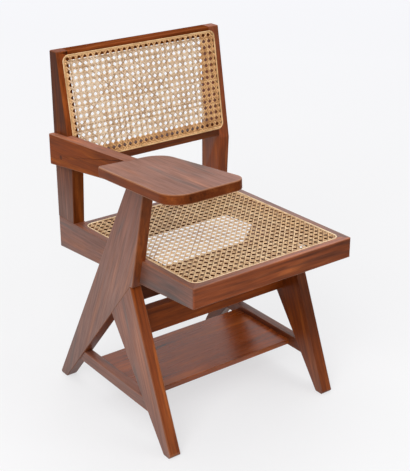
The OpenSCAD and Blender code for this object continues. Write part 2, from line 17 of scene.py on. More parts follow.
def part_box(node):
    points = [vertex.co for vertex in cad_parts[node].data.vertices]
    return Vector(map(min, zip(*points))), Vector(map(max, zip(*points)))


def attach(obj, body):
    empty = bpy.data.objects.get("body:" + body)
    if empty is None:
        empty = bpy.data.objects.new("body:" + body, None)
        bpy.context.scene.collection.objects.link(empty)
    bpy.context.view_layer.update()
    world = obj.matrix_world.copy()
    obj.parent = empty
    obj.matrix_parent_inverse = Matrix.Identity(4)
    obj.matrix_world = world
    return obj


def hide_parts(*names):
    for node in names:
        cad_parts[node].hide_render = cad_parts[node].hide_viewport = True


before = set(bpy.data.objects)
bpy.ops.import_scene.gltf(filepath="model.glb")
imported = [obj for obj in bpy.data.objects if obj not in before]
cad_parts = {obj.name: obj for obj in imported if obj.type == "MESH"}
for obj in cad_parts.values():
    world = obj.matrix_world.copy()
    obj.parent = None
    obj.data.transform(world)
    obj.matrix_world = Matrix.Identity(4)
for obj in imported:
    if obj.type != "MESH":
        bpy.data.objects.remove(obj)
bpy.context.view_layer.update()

bl_info = {
    "name": "Writing arm chair",
    "version": (1, 0, 0),
    "blender": (4, 5, 0),
    "location": "View3D > Sidebar > Chair",
    "description": "Dresses a teak and cane writing chair around its packed solids",
    "category": "Object",
}

BODY = "root"
MM = 0.001

# The seat's middle plane, and the place and height of its front top edge
FRONT_LOW, FRONT_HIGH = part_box("seat_front_rail")
REAR_LOW, REAR_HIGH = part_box("seat_rear_rail")
SEAT_X = (REAR_LOW.x + REAR_HIGH.x) / 2
SEAT_Y = FRONT_LOW.y
SEAT_Z = FRONT_HIGH.z

# The seat's top: its depth, its fall to the rear and its half widths
SEAT_DEPTH = 515 * MM
SEAT_FALL = 13 * MM
SEAT_HALF_FRONT = 212 * MM
SEAT_HALF_REAR = 219 * MM
SEAT_TILT = math.atan(SEAT_FALL / SEAT_DEPTH)

# The outer edge of the seat's spline, measured back from the seat's front
SEAT_SPLINE_FRONT = 17 * MM
SEAT_SPLINE_REAR = 431 * MM
SEAT_SPLINE_BORDER = 15 * MM
SEAT_SPLINE_RADIUS = 20 * MM

# The uprights' knee, and how far their front rises and leans back above it
KNEE_HEIGHT = 536 * MM
KNEE = Vector((SEAT_X, SEAT_Y + 442 * MM, KNEE_HEIGHT))
BACK_RISE = 264 * MM
BACK_LEAN = 46 * MM
BACK_TILT = math.atan(BACK_LEAN / BACK_RISE)

# The outer edge of the back's spline
BACK_SPLINE_LOW = 559 * MM
BACK_SPLINE_HIGH = 791.5 * MM
BACK_SPLINE_HALF = 205.5 * MM
BACK_SPLINE_RADIUS = 16 * MM

# How far the cane runs in under the splines, and how deep its middle lies in the wood
UNDER_SPLINE = 2 * MM
CANE_DEPTH = 1 * MM

# The way that the main light falls through the cane
LIGHT_WAY = Vector((0.6, 0.7, -0.4)).normalized()


def settings():
    """The chair's sizes and colours, as the panel shows them."""
    return bpy.context.scene.chair


# Meshes


def sort_faces(bm):
    """Puts the faces in the order of their vertices, because some operators' order varies."""
    bm.verts.index_update()
    ordered = sorted(bm.faces, key=lambda face: sorted(v.index for v in face.verts))
    rank = {face: i for i, face in enumerate(ordered)}
    bm.faces.sort(key=lambda face: rank[face])


def piece(name, bm, material, node, smooth=False):
    """Makes a bmesh a piece of the chair that stands for a node."""
    sort_faces(bm)
    mesh = bpy.data.meshes.new(name)
    bm.to_mesh(mesh)
    bm.free()
    mesh.materials.append(material)
    for face in mesh.polygons:
        face.use_smooth = smooth
    obj = bpy.data.objects.new(name, mesh)
    bpy.context.scene.collection.objects.link(obj)
    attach(obj, BODY)
    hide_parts(node)
    return obj


def merged_copy(node):
    """A node's mesh as one closed shell with flat faces made whole."""
    bm = bmesh.new()
    bm.from_mesh(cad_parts[node].data)
    bmesh.ops.remove_doubles(bm, verts=bm.verts, dist=0.005 * MM)
    bmesh.ops.dissolve_limit(
        bm, angle_limit=math.radians(0.5), use_dissolve_boundaries=False,
        verts=bm.verts, edges=bm.edges, delimit=set(),
    )
    return bm


def search_tree(nodes):
    """A search tree over the faces of some nodes."""
    verts, faces = [], []
    for node in nodes:
        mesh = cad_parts[node].data
        start = len(verts)
        verts += [v.co.copy() for v in mesh.vertices]
        faces += [[start + i for i in f.vertices] for f in mesh.polygons]
    return BVHTree.FromPolygons(verts, faces)


def neighbours(node):
    """A search tree over all the other nodes' faces."""
    return search_tree(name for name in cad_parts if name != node)


def touch_share(edge, tree, reach=0.3 * MM, step=8 * MM):
    """How much of an edge lies on another piece, from 0 to 1."""
    start, end = edge.verts[0].co, edge.verts[1].co
    count = max(3, int((end - start).length / step))
    hits = 0
    for i in range(count):
        found = tree.find_nearest(start.lerp(end, (i + 0.5) / count), reach)
        hits += found[0] is not None
    return hits / count


def free_edges(bm, node, limit=0.5, angle=25):
    """Outer corners of a piece that no other piece covers."""
    tree = neighbours(node)
    return [
        e for e in bm.edges
        if len(e.link_faces) == 2 and e.is_convex
        and e.calc_face_angle() > math.radians(angle)
        and touch_share(e, tree) < limit
    ]


def ease(bm, edges, radius, segments=3):
    """Rounds a set of edges and marks the new faces, which the teak paints paler, partly as wear
    and partly as a painted highlight.
    """
    worn = bm.faces.layers.float.new("worn")
    if edges:
        made = bmesh.ops.bevel(
            bm, geom=edges, offset=radius, offset_type="OFFSET", affect="EDGES",
            segments=segments, profile=0.5, material=-1, clamp_overlap=False, loop_slide=True,
        )
        for face in made["faces"]:
            face[worn] = 1.0


def flatten_normals(obj):
    """Keeps the flat faces flat where they run into rounded edges."""
    for face in obj.data.polygons:
        face.use_smooth = True
    obj.data.set_sharp_from_angle(angle=math.radians(40))
    mod = obj.modifiers.new("flat faces", "WEIGHTED_NORMAL")
    mod.keep_sharp = True
    mod.weight = 80
    return obj


def lies_on(face, tree, touch=0.2 * MM, reach=6 * MM):
    """Whether a face's middle touches the tree's faces and all its corners are near them."""
    if tree.find_nearest(face.calc_center_median(), touch)[0] is None:
        return False
    return all(tree.find_nearest(v.co, reach)[0] is not None for v in face.verts)


def mark_raw(bm, inside):
    """Gives the faces in painted shade the second material, if there are any: a darker, duller
    teak for the shade in the seat and under the cane.

    They are the faces under the cane and, with inside, the upright ones that look into the seat.
    """
    middle = Vector((SEAT_X, SEAT_Y + 220 * MM, SEAT_Z))
    raw = [
        f for f in bm.faces
        if inside and abs(f.normal.z) < 0.3 and f.normal.dot(middle - f.calc_center_median()) > 0
    ]
    for node in ("seat_cane", "back_cane"):
        tree = search_tree([node])
        raw += [f for f in bm.faces if lies_on(f, tree)]
    for face in raw:
        face.material_index = 1
    return bool(raw)


def round_corner(bm, corner, sides, radius, steps=6):
    """Rounds a straight corner with cuts that touch its arc.

    corner is a point on it, and sides the outward normals of the two faces that meet there.
    """
    first, last = sides
    centre = corner - (first + last) * radius / (1 + first.dot(last))
    for i in range(steps):
        out = first.slerp(last, (i + 0.5) / steps)
        cut = bmesh.ops.bisect_plane(
            bm, geom=bm.verts[:] + bm.edges[:] + bm.faces[:], dist=0.001 * MM,
            plane_co=centre + out * radius, plane_no=out, clear_outer=True,
        )
        edges = [g for g in cut["geom_cut"] if isinstance(g, bmesh.types.BMEdge)]
        bmesh.ops.holes_fill(bm, edges=edges, sides=0)


def foot_corners(bm):
    """The front and rear edges of a foot on the floor, as points with their faces' normals."""
    return [
        (e.verts[0].co.copy(), [f.normal.copy() for f in e.link_faces]) for e in bm.edges
        if all(v.co.z < MM for v in e.verts) and abs(e.verts[0].co.x - e.verts[1].co.x) > 5 * MM
    ]


# Shader nodes


class Nodes:
    """Adds and links the nodes of one shader tree, which it empties first."""

    def __init__(self, tree):
        self.tree = tree
        tree.nodes.clear()

    def add(self, kind, inputs=(), **values):
        """A node with its values set, and with its inputs linked or set."""
        node = self.tree.nodes.new(kind)
        for key, value in values.items():
            setattr(node, key, value)
        for key, value in dict(inputs).items():
            if isinstance(value, bpy.types.NodeSocket):
                self.tree.links.new(value, node.inputs[key])
            else:
                node.inputs[key].default_value = value
        return node

    def ramp(self, factor, *stops):
        """A colour ramp. Each stop is a place and a colour, or a number for a grey."""
        node = self.add("ShaderNodeValToRGB", {"Fac": factor})
        elements = node.color_ramp.elements
        while len(elements) < len(stops):
            elements.new(0.5)
        for element, (place, colour) in zip(elements, stops):
            grey = isinstance(colour, (int, float))
            element.position = place
            element.color = (colour, colour, colour, 1) if grey else (*colour, 1)
        return node.outputs["Color"]

    def mix(self, share, first, second, blend="MIX"):
        """Blends two colours, each a socket or three numbers."""
        first, second = (
            c if isinstance(c, bpy.types.NodeSocket) else (*c, 1) for c in (first, second)
        )
        # the node's sockets 0, 6 and 7 are its share and its two colours, and 2 gives the blend
        return self.add(
            "ShaderNodeMix", {0: share, 6: first, 7: second}, data_type="RGBA", blend_type=blend
        ).outputs[2]

    def math(self, operation, first, second=0.0, clamp=False):
        """A calculation with two numbers."""
        return self.add(
            "ShaderNodeMath", {0: first, 1: second}, operation=operation, use_clamp=clamp
        ).outputs[0]

    def noise(self, space, scale, detail=2.0, roughness=0.5, distortion=0.0):
        """A noise pattern."""
        return self.add(
            "ShaderNodeTexNoise",
            {"Vector": space, "Scale": scale, "Detail": detail, "Roughness": roughness,
             "Distortion": distortion},
        ).outputs["Fac"]

    def stretched(self, space, scale):
        """Coordinates multiplied along x, so that a pattern on them gets shorter or longer."""
        return self.add(
            "ShaderNodeMapping", {"Vector": space, "Scale": (scale, 1, 1)}
        ).outputs["Vector"]

    def place(self):
        """Where a point of the surface is, in the object's own coordinates."""
        return self.add("ShaderNodeTexCoord").outputs["Object"]

    def attribute(self, name):
        """A number that the mesh carries."""
        return self.add("ShaderNodeAttribute", attribute_name=name).outputs["Fac"]

    def bump(self, height, strength, distance):
        """A normal tilted by a pattern."""
        return self.add(
            "ShaderNodeBump", {"Height": height, "Strength": strength, "Distance": distance}
        ).outputs["Normal"]

    def emission(self, colour, strength=1.0):
        """A glowing surface."""
        return self.add("ShaderNodeEmission", {"Color": colour, "Strength": strength}).outputs[0]

    def diffuse(self, grey):
        """A dull grey surface."""
        return self.add("ShaderNodeBsdfDiffuse", {"Color": (grey, grey, grey, 1)}).outputs[0]

    def principled(self, inputs):
        """A surface with gloss, and the end of the tree."""
        self.surface(self.add("ShaderNodeBsdfPrincipled", inputs).outputs["BSDF"])

    def surface(self, shader, kind="ShaderNodeOutputMaterial"):
        """The end of the tree."""
        self.add(kind, {"Surface": shader})


def new_material(name):
    """An empty material, with what fills it."""
    material = bpy.data.materials.new(name)
    material.use_nodes = True
    return material, Nodes(material.node_tree)


# Teak


def grain_space(n, along, pith, stretch=9.0):
    """Coordinates with x along the grain, squeezed so that a pattern runs with it."""
    turn = Vector((1, 0, 0)).rotation_difference(Vector(along).normalized()).to_euler()
    return n.add(
        "ShaderNodeMapping",
        {"Vector": n.place(), "Location": pith, "Rotation": turn, "Scale": (stretch, 1, 1)},
        vector_type="TEXTURE",
    ).outputs["Vector"]


def on_faces(n, facing, share=1):
    """A share on the faces that look along an axis, and 0 on the others."""
    return n.ramp(facing, (0.75, 0), (0.95, share))


def fade_tone(n, colour, facing, place, stops):
    """Paints light and shade: changes the tone of the faces that look along one axis, step by step
    along another.

    stops are places in metres with their share of the tone. A ramp runs from 0 to 1, so
    it holds places from -1 to 1 m.
    """
    way = n.math("ADD", n.math("MULTIPLY", place, 0.5), 0.5)
    tone = n.ramp(way, *((at / 2 + 0.5, share) for at, share in stops))
    faces = on_faces(n, n.math("ABSOLUTE", facing))
    return n.mix(faces, colour, n.mix(1.0, colour, tone, "MULTIPLY"))


def teak(name, along, pith, tone=1.0, gloss=0.40, figure=0.25, specular=0.45, pattern=0.8,
         bloom=(0.0, 0.0), clean=None, dust=0.0, wear=0.3, fade=()):
    """Oiled teak: broad streaks, dark veins, fine fibres, blotches, paler edges, painted sheen and
    painted light and shade.

    along is the direction of the grain, and pith a point on the line that its rings go round.
    tone is how light the wood is, gloss its least roughness, figure how much its veins show,
    pattern how strongly its fibres and blotches show and wear how pale its edges are, partly as
    wear and partly as a painted highlight.
    bloom is a painted sheen, how far side and top faces go towards a reflection's grey, and dust
    the same on all faces, from 0 to 1. clean is the two heights between which the sides' sheen
    ends.
    fade is painted light and shade: it lists the axis that faces look along, the axis that their
    tone changes along, and places on it with their share of the tone.
    """
    look = settings()
    material, n = new_material(name)
    space = grain_space(n, along, pith)
    streaks = n.noise(space, 34.0, detail=4.0, roughness=0.55, distortion=0.3)
    rings = n.add(
        "ShaderNodeTexWave",
        {"Vector": space, "Scale": 34.0, "Distortion": 9.0, "Detail": 3.0,
         "Detail Scale": 0.6, "Detail Roughness": 0.6},
        wave_type="RINGS", rings_direction="X", wave_profile="SIN",
    ).outputs["Fac"]
    patches = n.noise(space, 14.0, detail=1.0)
    fibres = n.noise(n.stretched(space, 0.4), 240.0, detail=4.0, roughness=0.7)
    clouds = n.noise(n.stretched(space, 3.5), 8.0, detail=3.0, roughness=0.55)

    dark, mid, light = (
        tuple(c * tone for c in colour)
        for colour in (look.teak_dark, look.teak_mid, look.teak_light)
    )
    colour = n.ramp(streaks, (0.28, dark), (0.43, mid), (0.54, mid), (0.66, light))
    veins = n.math("MULTIPLY", n.ramp(rings, (0.0, 0), (0.45, 0.2), (0.9, 1)),
                   n.ramp(patches, (0.40, 0.15), (0.62, 1)))
    colour = n.mix(n.math("MULTIPLY", veins, figure), colour, dark)
    colour = n.mix(pattern, colour, n.ramp(fibres, (0.34, 0.68), (0.66, 1.28)), "MULTIPLY")
    colour = n.mix(pattern, colour, n.ramp(clouds, (0.30, 0.68), (0.70, 1.28)), "MULTIPLY")

    coords = n.add("ShaderNodeTexCoord").outputs
    facing = n.add("ShaderNodeSeparateXYZ", {0: coords["Normal"]}).outputs
    place = n.add("ShaderNodeSeparateXYZ", {0: coords["Object"]}).outputs
    # Painted light and shade, step by step along an axis.
    for face_axis, way_axis, *stops in fade:
        colour = fade_tone(n, colour, facing[face_axis], place[way_axis], stops)
    # Paler edges on the rounded faces: partly wear and partly a painted highlight.
    rubbed = n.ramp(clouds, (0.35, 0.3 * wear), (0.60, wear))
    colour = n.mix(n.math("MULTIPLY", n.attribute("worn"), rubbed), colour, look.edge_colour)

    # Painted sheen: the side faces, the top faces and an even share on all faces go towards the
    # grey of a reflection.
    sides = on_faces(n, n.math("ABSOLUTE", facing["X"]), bloom[0])
    if clean:
        sides = n.math("MULTIPLY", sides, n.ramp(place["Z"], (clean[0], 1), (clean[1], 0)))
    tops = on_faces(n, facing["Z"], bloom[1])
    greyed = n.math("ADD", n.math("ADD", sides, tops), dust)
    greyed = n.math("MULTIPLY", greyed, n.ramp(clouds, (0.35, 0.8), (0.65, 1.2)))
    greyed = n.math("MULTIPLY", greyed, n.ramp(fibres, (0.36, 0.7), (0.64, 1.3)))
    colour = n.mix(greyed, colour, look.bloom_colour)

    n.principled({
        "Base Color": colour, "Roughness": n.ramp(streaks, (0.3, gloss), (0.7, gloss + 0.12)),
        "Normal": n.bump(fibres, 0.25, 0.3 * MM), "Specular IOR Level": specular, "IOR": 1.5,
    })
    return material


# Directions of the grain, a little off the pieces' own lengths
X_GRAIN = (1, 0.02, 0.01)
Y_GRAIN = (0.015, 1, -0.02)
UP_GRAIN = (0.01, 0.03, 1)
ARM_GRAIN = (0.0, 1, -0.08)
TABLET_GRAIN = (0.03, 1, -0.076)
REAR_LEG_GRAIN = (0.0, -0.42, 1)
FRONT_LEG_GRAIN = (0.0, 0.36, 1)

# Radii of the free edges where hands and floors have worn them, and of the feet
WORN_EDGE = 2.2 * MM
LEG_EDGE = 2.6 * MM
FRONT_FOOT = 9 * MM
REAR_FOOT = 7 * MM


def teak_piece(node, along, pith, radius=None, corners=(), foot=0.0, inside=False, **finish):
    """Eases the free edges of a node's copy and gives it teak with its own grain.

    radius is that of the free edges, where it isn't the setting's, and foot that of the
    front and rear edges on the floor. corners are upright corners to round. inside says
    that the faces inside the seat get the painted shade too, as those under the cane do on every
    piece.
    """
    look = settings()
    bm = merged_copy(node)
    for corner, sides in corners:
        round_corner(bm, corner, sides, look.corner_radius)
    feet = foot_corners(bm) if foot else ()
    ease(bm, free_edges(bm, node), radius or look.edge_radius)
    for corner, sides in feet:
        round_corner(bm, corner, sides, foot)
    # Painted shade: faces under the cane and inside the seat get a darker, duller teak.
    has_raw = mark_raw(bm, inside)
    obj = piece(node + "_eased", bm, teak("teak " + node, along, pith, **finish), node)
    if has_raw:
        obj.data.materials.append(teak("raw teak " + node, along, pith, tone=look.raw_tone,
                                       gloss=0.6, specular=0.02, wear=0))
    return flatten_normals(obj)


class CHAIR_OT_seat_frame(bpy.types.Operator):
    """Side rails, front rail and rear rail, with rounded front corners"""

    bl_idname = "chair.seat_frame"
    bl_label = "Seat frame"

    def execute(self, context):
        half = Vector((FRONT_HIGH.x - SEAT_X, 0, 0))
        corner, front = Vector((SEAT_X, SEAT_Y, 0)), Vector((0, -1, 0))
        left = corner - half, (Vector((-1, 0, 0)), front)
        right = corner + half, (Vector((1, 0, 0)), front)
        # Painted sheen on the rails' side and top faces and, faintly, on all the front rail's
        # faces; painted shade on the front rail's front and rear faces towards the open side.
        teak_piece("tablet_side_rail", Y_GRAIN, (-0.26, 0, 0.31), corners=[left], inside=True,
                   tone=0.9, figure=0.15, bloom=(0.10, 0.04))
        teak_piece("open_side_rail", Y_GRAIN, (0.33, 0, 0.33), corners=[right], inside=True,
                   tone=0.75, bloom=(0, 0.15))
        teak_piece("seat_front_rail", X_GRAIN, (0, -0.14, 0.35), corners=[left, right],
                   inside=True, tone=1.5, figure=0.6, dust=0.02, bloom=(0, 0.07),
                   fade=(("Y", "X", (0.05, 1.0), (0.12, 0.75)),))
        teak_piece("seat_rear_rail", X_GRAIN, (0, 0.12, 0.30), inside=True, tone=0.7,
                   bloom=(0, 0.10))
        return {"FINISHED"}


class CHAIR_OT_back_frame(bpy.types.Operator):
    """The two uprights and the rails between them"""

    bl_idname = "chair.back_frame"
    bl_label = "Back frame"

    def execute(self, context):
        # Painted sheen on the tablet upright's lower sides; painted light and shade on its front
        # and rear faces, lighter above the arm, and painted shade on its sides above the arm;
        # painted shade and a faint painted sheen on the top rail's top.
        teak_piece("tablet_upright", UP_GRAIN, (-0.13, 0.17, 0.6), WORN_EDGE, tone=0.8,
                   specular=0.1, wear=0.1, bloom=(0.16, 0), clean=(0.44, 0.58),
                   fade=(("Y", "Z", (0.60, 0.8), (0.64, 1.45)),
                         ("X", "Z", (0.58, 1.0), (0.65, 0.5))))
        teak_piece("open_upright", UP_GRAIN, (0.31, 0.19, 0.6), WORN_EDGE, tone=1.15, wear=0.1)
        teak_piece("back_top_rail", X_GRAIN, (0, 0.20, 0.74), WORN_EDGE, tone=1.15, specular=0.0,
                   wear=0.1, dust=0.01, fade=(("Z", "Z", (0.1, 0.7), (0.4, 0.7)),))
        teak_piece("back_bottom_rail", X_GRAIN, (0, 0.18, 0.50), tone=0.55, specular=0.2)
        return {"FINISHED"}


class CHAIR_OT_arm(bpy.types.Operator):
    """The arm rail and the writing tablet"""

    bl_idname = "chair.arm"
    bl_label = "Arm and tablet"

    def execute(self, context):
        # Painted light on the arm's top, painted shade on the tablet's front and rear faces, and
        # painted sheen on both tops.
        teak_piece("arm_rail", ARM_GRAIN, (-0.24, 0, 0.48), WORN_EDGE, tone=1.1, specular=0.08,
                   wear=0.4, bloom=(0.0, 0.13), fade=(("Z", "Z", (0.4, 1.3), (0.5, 1.3)),))
        teak_piece("writing_tablet", TABLET_GRAIN, (-0.19, 0, 0.55), WORN_EDGE, tone=0.95,
                   specular=0.15, wear=0.9, bloom=(0.0, 0.15),
                   fade=(("Y", "Y", (-0.4, 0.82), (0.4, 0.82)),))
        return {"FINISHED"}


class CHAIR_OT_legs(bpy.types.Operator):
    """The compass legs on both sides"""

    bl_idname = "chair.legs"
    bl_label = "Legs"

    def execute(self, context):
        # Painted sheen on the legs' side faces, fading out with height, and painted light and
        # shade along the front legs' height.
        teak_piece("tablet_long_leg", REAR_LEG_GRAIN, (-0.13, 0.1, 0.3), LEG_EDGE, foot=REAR_FOOT,
                   bloom=(0.16, 0), clean=(0.35, 0.75))
        teak_piece("tablet_front_leg", FRONT_LEG_GRAIN, (-0.10, -0.2, 0.15), LEG_EDGE,
                   foot=FRONT_FOOT, tone=1.1, specular=0.3, bloom=(0.16, 0),
                   fade=(("Y", "Z", (0.25, 1.0), (0.34, 1.2)),))
        teak_piece("open_rear_leg", REAR_LEG_GRAIN, (0.34, 0.1, 0.2), LEG_EDGE, foot=REAR_FOOT,
                   tone=0.8, wear=0)
        teak_piece("open_front_leg", FRONT_LEG_GRAIN, (0.36, -0.2, 0.15), LEG_EDGE,
                   foot=FRONT_FOOT, tone=0.85, specular=0.25, wear=0, bloom=(0.08, 0),
                   clean=(0.02, 0.14), fade=(("X", "Z", (0.05, 1.2), (0.33, 0.85)),
                                             ("Y", "Z", (0.09, 1.1), (0.17, 0.72))))
        return {"FINISHED"}


class CHAIR_OT_cross_rails(bpy.types.Operator):
    """The seat bearer and the rail between the legs"""

    bl_idname = "chair.cross_rails"
    bl_label = "Cross rails"

    def execute(self, context):
        teak_piece("seat_bearer", X_GRAIN, (0, -0.10, 0.30), tone=0.6, specular=0.2)
        teak_piece("cross_rail", X_GRAIN, (0, 0.10, 0.20), tone=1.35, specular=0.2)
        return {"FINISHED"}


class CHAIR_OT_shelf(bpy.types.Operator):
    """The stretchers and the book shelf"""

    bl_idname = "chair.shelf"
    bl_label = "Stretchers and shelf"

    def execute(self, context):
        # Painted sheen on the stretchers' side and top faces, and painted light on the shelf's top
        # towards the open side.
        teak_piece("tablet_stretcher", Y_GRAIN, (-0.15, 0, 0.03), tone=1.05, bloom=(0.13, 0.08))
        teak_piece("open_stretcher", Y_GRAIN, (0.20, 0, 0.02), tone=0.9, bloom=(0, 0.12))
        teak_piece("book_shelf", X_GRAIN, (0, 0.05, -0.02), tone=1.35, specular=0.5, gloss=0.22,
                   figure=0.12, pattern=0.55, fade=(("Z", "X", (0.10, 1.0), (0.18, 1.35)),))
        return {"FINISHED"}


# Cane


def cut_corners(corners, radius):
    """An outline with each corner cut back in two steps, near a rounded one."""
    cut = []
    count = len(corners)
    for i, corner in enumerate(corners):
        back = (corners[i - 1] - corner).normalized()
        ahead = (corners[(i + 1) % count] - corner).normalized()
        inner = corner + (back + ahead) * radius
        for turn in (0, math.pi / 4, math.pi / 2):
            cut.append(inner - (back * math.sin(turn) + ahead * math.cos(turn)) * radius)
    return cut


def seat_panel(inset):
    """The seat cane's plane, corners and radius, inset from the outer edge of the spline."""
    cos = math.cos(SEAT_TILT)
    front = (SEAT_SPLINE_FRONT + inset) / cos
    rear = (SEAT_SPLINE_REAR - inset) / cos

    def half(y):
        widening = (SEAT_HALF_REAR - SEAT_HALF_FRONT) * y * cos / SEAT_DEPTH
        return SEAT_HALF_FRONT + widening - SEAT_SPLINE_BORDER - inset

    corners = [Vector(c) for c in ((-half(front), front), (half(front), front),
                                   (half(rear), rear), (-half(rear), rear))]
    turn = Euler((-SEAT_TILT, 0, 0)).to_matrix().to_4x4()
    plane = Matrix.Translation((SEAT_X, SEAT_Y, SEAT_Z)) @ turn
    return plane, corners, SEAT_SPLINE_RADIUS - inset


def back_panel(inset):
    """The back cane's plane, corners and radius, inset from the outer edge of the spline."""
    cos = math.cos(BACK_TILT)
    low = (BACK_SPLINE_LOW - KNEE_HEIGHT) / cos + inset
    high = (BACK_SPLINE_HIGH - KNEE_HEIGHT) / cos - inset
    half = BACK_SPLINE_HALF - inset
    corners = [Vector(c) for c in ((-half, low), (half, low), (half, high), (-half, high))]
    turn = Euler((math.radians(90) - BACK_TILT, 0, 0)).to_matrix().to_4x4()
    return Matrix.Translation(KNEE) @ turn, corners, BACK_SPLINE_RADIUS - inset


def weave_lay(shift, stretch, lean):
    """How a weave lies in its panel's plane: moved, stretched upwards and leaning."""
    return Matrix(((1, lean, 0, shift[0]), (0, stretch, 0, shift[1]), (0, 0, 1, 0), (0, 0, 0, 1)))


class Panel:
    """A caned panel: its plane and its outline inside the spline, in the weave's own grid.

    lay stretches, leans and shifts the square weave a little, as hand-woven cane lies.
    fullness is how wide the strands are, against the settings.
    """

    FAR = 10.0              # past any edge of the panel
    SHORTEST = 6 * MM       # the least length of strand that is laid

    def __init__(self, node, plane, corners, lay, fullness, seed):
        self.place = plane @ lay
        loose = lay.inverted()
        self.corners = [(loose @ c.to_3d()).to_2d() for c in corners]
        self.fullness = fullness
        self.wood = neighbours(node)
        self.random = random.Random(seed)

    def backed(self, point, clear=4 * MM, reach=60 * MM):
        """1 where wood lies close behind the cane, as the light falls, else 0: where the cane gets
        a painted shade.
        """
        start = self.place @ point + LIGHT_WAY * clear
        return float(self.wood.ray_cast(start, LIGHT_WAY, reach)[0] is not None)

    def span(self, point, along):
        """Where the line through a point leaves the outline, as two lengths, or None."""
        low, high = -self.FAR, self.FAR
        count = len(self.corners)
        for i in range(count):
            corner, following = self.corners[i], self.corners[(i + 1) % count]
            side = following - corner
            out = Vector((side.y, -side.x)).normalized()
            speed, room = along.dot(out), (corner - point).dot(out)
            if abs(speed) < 1e-9:
                if room < 0:
                    return None
            elif speed > 0:
                high = min(high, room / speed)
            else:
                low = max(low, room / speed)
        return (low, high) if high - low > self.SHORTEST else None


class Weaver:
    """Lays strands of split cane over a panel, all in one mesh."""

    # A strand's section, as shares of its width and thickness: flat below, round above
    SECTION = ((-0.5, -0.25), (-0.24, 0.5), (0.24, 0.5), (0.5, -0.25))
    WOBBLE = 0.22 * MM          # how far a strand strays to its sides
    WOBBLE_LENGTH = 60 * MM     # the length of one wave of it, divided by 2 pi
    DROP = 1.6 * MM             # how far a strand's ends go down into the groove
    DROP_LENGTH = 5 * MM        # over which they do

    def __init__(self, panel):
        look = settings()
        self.panel = panel
        self.pitch = look.cane_pitch
        self.thick = look.cane_thickness
        self.bm = bmesh.new()
        self.bm.verts.layers.float.new("tone")
        self.bm.verts.layers.float.new("backed")
        self.bm.loops.layers.float.new("rim")

    def straight_strand(self, width, first, last):
        """A closed strand along x, with a section at each whole number from 0 on."""
        bm = bmesh.new()
        made = bmesh.ops.create_circle(bm, segments=len(self.SECTION), radius=1)
        for vert, (across, up) in zip(made["verts"], self.SECTION):
            vert.co = Vector((0, across * width, up * self.thick))
        bmesh.ops.spin(bm, geom=made["verts"] + bm.edges[:], cent=(0, 0, 0), axis=(1, 0, 0),
                       dvec=(1, 0, 0), angle=0, steps=last - first, use_merge=False)
        bmesh.ops.holes_fill(bm, edges=bm.edges[:], sides=4)
        return bm

    def strand(self, point, along, width, lift):
        """A strand through a point: lift(length) gives its height over the panel's middle."""
        span = self.panel.span(point, along)
        if not span:
            return
        diagonal = abs(along.x * along.y) > 0.1
        step = self.pitch / 4 * (math.sqrt(2) if diagonal else 1)
        first, last = math.floor(span[0] / step), math.ceil(span[1] / step)
        side = Vector((-along.y, along.x))
        tone = self.panel.random.random()
        wobble = self.panel.random.uniform(-1, 1) * self.WOBBLE
        phase = self.panel.random.uniform(0, 6.28)
        bm = self.straight_strand(width * self.panel.fullness, first, last)
        toned = bm.verts.layers.float.new("tone")
        backed = bm.verts.layers.float.new("backed")
        rim = bm.loops.layers.float.new("rim")
        # rim marks the lower corners of each strand's flanks, which the skin darkens: partly the
        # cane's own darker edge and partly painted shadow.
        low = {vert for vert in bm.verts if vert.co.z < 0}
        for face in bm.faces:
            flank = 0 < len(low.intersection(face.verts)) < len(face.verts)
            for corner in face.loops:
                corner[rim] = flank and corner.vert in low
        backing = {}
        for vert in bm.verts:
            section = round(vert.co.x)
            length = min(max((section + first) * step, span[0]), span[1])
            if section not in backing:
                backing[section] = self.panel.backed(Vector((*(point + along * length), 0)))
            shift = wobble * math.sin(length / self.WOBBLE_LENGTH + phase)
            flat = point + along * length + side * (vert.co.y + shift)
            end = min(length - span[0], span[1] - length)
            drop = self.DROP * max(0.0, 1 - end / self.DROP_LENGTH) ** 2
            height = vert.co.z + lift(length) - CANE_DEPTH - drop
            vert.co = self.panel.place @ Vector((*flat, height))
            vert[toned] = tone
            vert[backed] = backing[section]
        bmesh.ops.recalc_face_normals(bm, faces=bm.faces)
        mesh = bpy.data.meshes.new("strand")
        bm.to_mesh(mesh)
        bm.free()
        self.bm.from_mesh(mesh)
        bpy.data.meshes.remove(mesh)


def weave(panel, part, pairs=40, straight_lift=0.66, diagonal_lift=0.98):
    """The six ways of hand-woven cane: double strands both ways and two diagonals.

    pairs is how many pitches the weave runs to each side of its middle, past the outline.
    The lifts are how high strands pass over each other, as shares of their thickness.
    """
    look = settings()
    pitch, gap = look.cane_pitch, look.pair_gap
    weaver = Weaver(panel)
    turn = 2 * math.pi / pitch
    low, high = straight_lift * look.cane_thickness, diagonal_lift * look.cane_thickness

    def over_pair(height):
        return lambda length: height * math.sin(turn * length)

    def over_cross(height, share):
        return lambda length: height * math.cos(turn * (length * share + pitch / 2))

    for i in range(-pairs, pairs):
        if part == "straight":
            for side in (-1, 1):
                place = i * pitch + side * gap
                to_rear, to_side = Vector((0, 1)), Vector((1, 0))
                weaver.strand(to_side * place, to_rear, look.cane_width, over_pair(-side * low))
                weaver.strand(to_rear * place, to_side, look.cane_width, over_pair(side * low))
        else:
            for lean in (-1, 1):
                along = Vector((1, lean)).normalized()
                start = Vector(((i + 0.5) * pitch, 0))
                weaver.strand(start, along, look.diagonal_width, over_cross(lean * high, along.x))
    return weaver.bm


